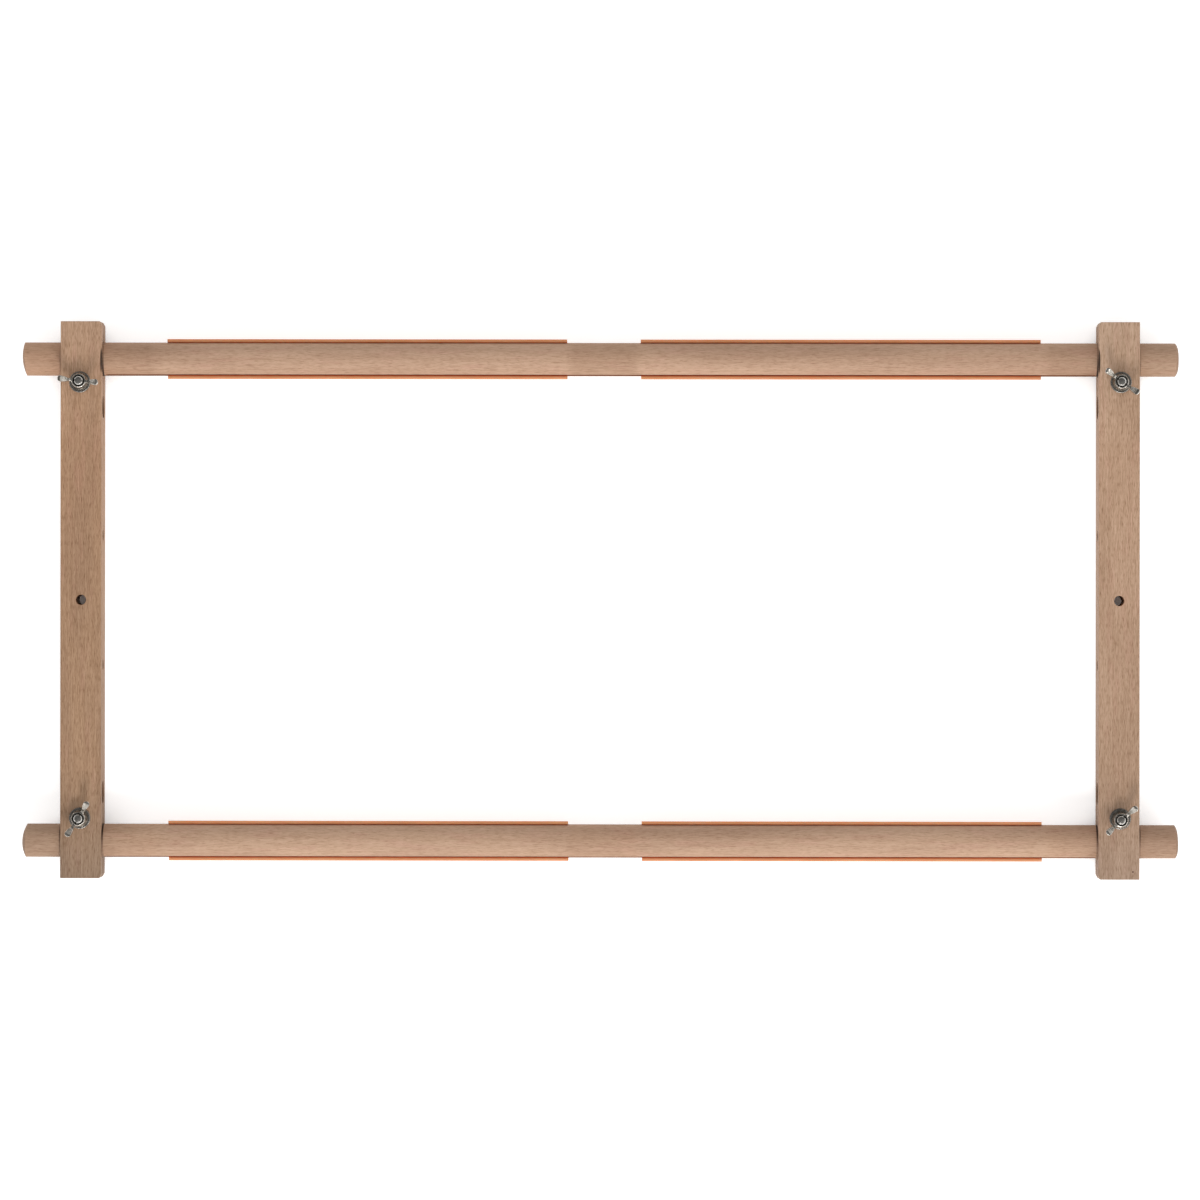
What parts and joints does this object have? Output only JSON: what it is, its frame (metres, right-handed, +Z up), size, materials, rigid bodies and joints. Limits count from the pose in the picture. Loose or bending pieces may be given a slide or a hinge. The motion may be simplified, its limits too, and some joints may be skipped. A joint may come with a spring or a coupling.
{
  "type": "rotating tapestry frame",
  "caption": "Rectangular needlework frame: round wooden rollers turn in split, wing-nut clamped side bars, and plastic spring clips hold the cloth on them.",
  "frame": {"origin": "middle of the working window, on the surface that the frame lies on, under the bolt heads", "axes": "+X along the rollers to the right, +Y from the lower roller to the upper one, +Z up, towards the wing nuts"},
  "size_m": [0.624, 0.3, 0.0368],
  "materials": {
    "bar_beech": "bare sanded beech",
    "roller_beech": "bare turned beech",
    "clip_plastic": "orange, smooth, extruded",
    "bolt_steel": "zinc plated",
    "washer_steel": "dulled zinc plate",
    "nut_metal": "nickel plated casting"
  },
  "bodies": {
    "left_bar": {"left_side_bar": "bar_beech", "upper_left_bolt": "bolt_steel", "lower_left_bolt": "bolt_steel"},
    "right_bar": {"right_side_bar": "bar_beech", "upper_right_bolt": "bolt_steel", "lower_right_bolt": "bolt_steel"},
    "upper_roller": {"upper_roller": "roller_beech"},
    "lower_roller": {"lower_roller": "roller_beech"},
    "upper_left_clip": {"upper_left_clip": "clip_plastic"},
    "upper_left_washer": {"upper_left_washer": "washer_steel"},
    "upper_left_wing_nut": {"upper_left_wing_nut": "nut_metal"},
    "upper_right_clip": {"upper_right_clip": "clip_plastic"},
    "upper_right_washer": {"upper_right_washer": "washer_steel"},
    "upper_right_wing_nut": {"upper_right_wing_nut": "nut_metal"},
    "lower_left_clip": {"lower_left_clip": "clip_plastic"},
    "lower_left_washer": {"lower_left_washer": "washer_steel"},
    "lower_left_wing_nut": {"lower_left_wing_nut": "nut_metal"},
    "lower_right_clip": {"lower_right_clip": "clip_plastic"},
    "lower_right_washer": {"lower_right_washer": "washer_steel"},
    "lower_right_wing_nut": {"lower_right_wing_nut": "nut_metal"}
  },
  "joints": [
    {"name": "right_bar_slide", "type": "slide", "parent": "left_bar", "child": "right_bar", "axis": [1, 0, 0], "range_m": [-0.014, 0.021]},
    {"name": "upper_roller_turn", "type": "hinge", "parent": "left_bar", "child": "upper_roller", "pos_m": [0, 0.13, 0.0138], "axis": [1, 0, 0], "continuous": true},
    {"name": "lower_roller_turn", "type": "hinge", "parent": "left_bar", "child": "lower_roller", "pos_m": [0, -0.13, 0.0138], "axis": [1, 0, 0], "continuous": true},
    {"name": "upper_left_clip_slide", "type": "slide", "parent": "upper_roller", "child": "upper_left_clip", "axis": [1, 0, 0], "range_m": [-0.03, 0.019]},
    {"name": "upper_right_clip_slide", "type": "slide", "parent": "upper_roller", "child": "upper_right_clip", "axis": [1, 0, 0], "range_m": [-0.019, 0.015]},
    {"name": "lower_left_clip_slide", "type": "slide", "parent": "lower_roller", "child": "lower_left_clip", "axis": [1, 0, 0], "range_m": [-0.03, 0.019]},
    {"name": "lower_right_clip_slide", "type": "slide", "parent": "lower_roller", "child": "lower_right_clip", "axis": [1, 0, 0], "range_m": [-0.019, 0.015]},
    {"name": "upper_left_washer_lift", "type": "slide", "parent": "left_bar", "child": "upper_left_washer", "axis": [0, 0, 1], "range_m": [0, 0.0016]},
    {"name": "upper_left_nut_turn", "type": "hinge", "parent": "upper_left_washer", "child": "upper_left_wing_nut", "pos_m": [-0.2802, 0.11775, 0.0258], "axis": [0, 0, 1], "range_deg": [0, 720]},
    {"name": "upper_right_washer_lift", "type": "slide", "parent": "right_bar", "child": "upper_right_washer", "axis": [0, 0, 1], "range_m": [0, 0.0016]},
    {"name": "upper_right_nut_turn", "type": "hinge", "parent": "upper_right_washer", "child": "upper_right_wing_nut", "pos_m": [0.2802, 0.11775, 0.0258], "axis": [0, 0, 1], "range_deg": [0, 720]},
    {"name": "lower_left_washer_lift", "type": "slide", "parent": "left_bar", "child": "lower_left_washer", "axis": [0, 0, 1], "range_m": [0, 0.0016]},
    {"name": "lower_left_nut_turn", "type": "hinge", "parent": "lower_left_washer", "child": "lower_left_wing_nut", "pos_m": [-0.2802, -0.11775, 0.0258], "axis": [0, 0, 1], "range_deg": [0, 720]},
    {"name": "lower_right_washer_lift", "type": "slide", "parent": "right_bar", "child": "lower_right_washer", "axis": [0, 0, 1], "range_m": [0, 0.0016]},
    {"name": "lower_right_nut_turn", "type": "hinge", "parent": "lower_right_washer", "child": "lower_right_wing_nut", "pos_m": [0.2802, -0.11775, 0.0258], "axis": [0, 0, 1], "range_deg": [0, 720]}
  ],
  "couplings": [
    {"joint": "upper_left_nut_turn", "follows": "upper_left_washer_lift", "rad_per_m": 7854},
    {"joint": "upper_right_nut_turn", "follows": "upper_right_washer_lift", "rad_per_m": 7854},
    {"joint": "lower_left_nut_turn", "follows": "lower_left_washer_lift", "rad_per_m": 7854},
    {"joint": "lower_right_nut_turn", "follows": "lower_right_washer_lift", "rad_per_m": 7854}
  ]
}
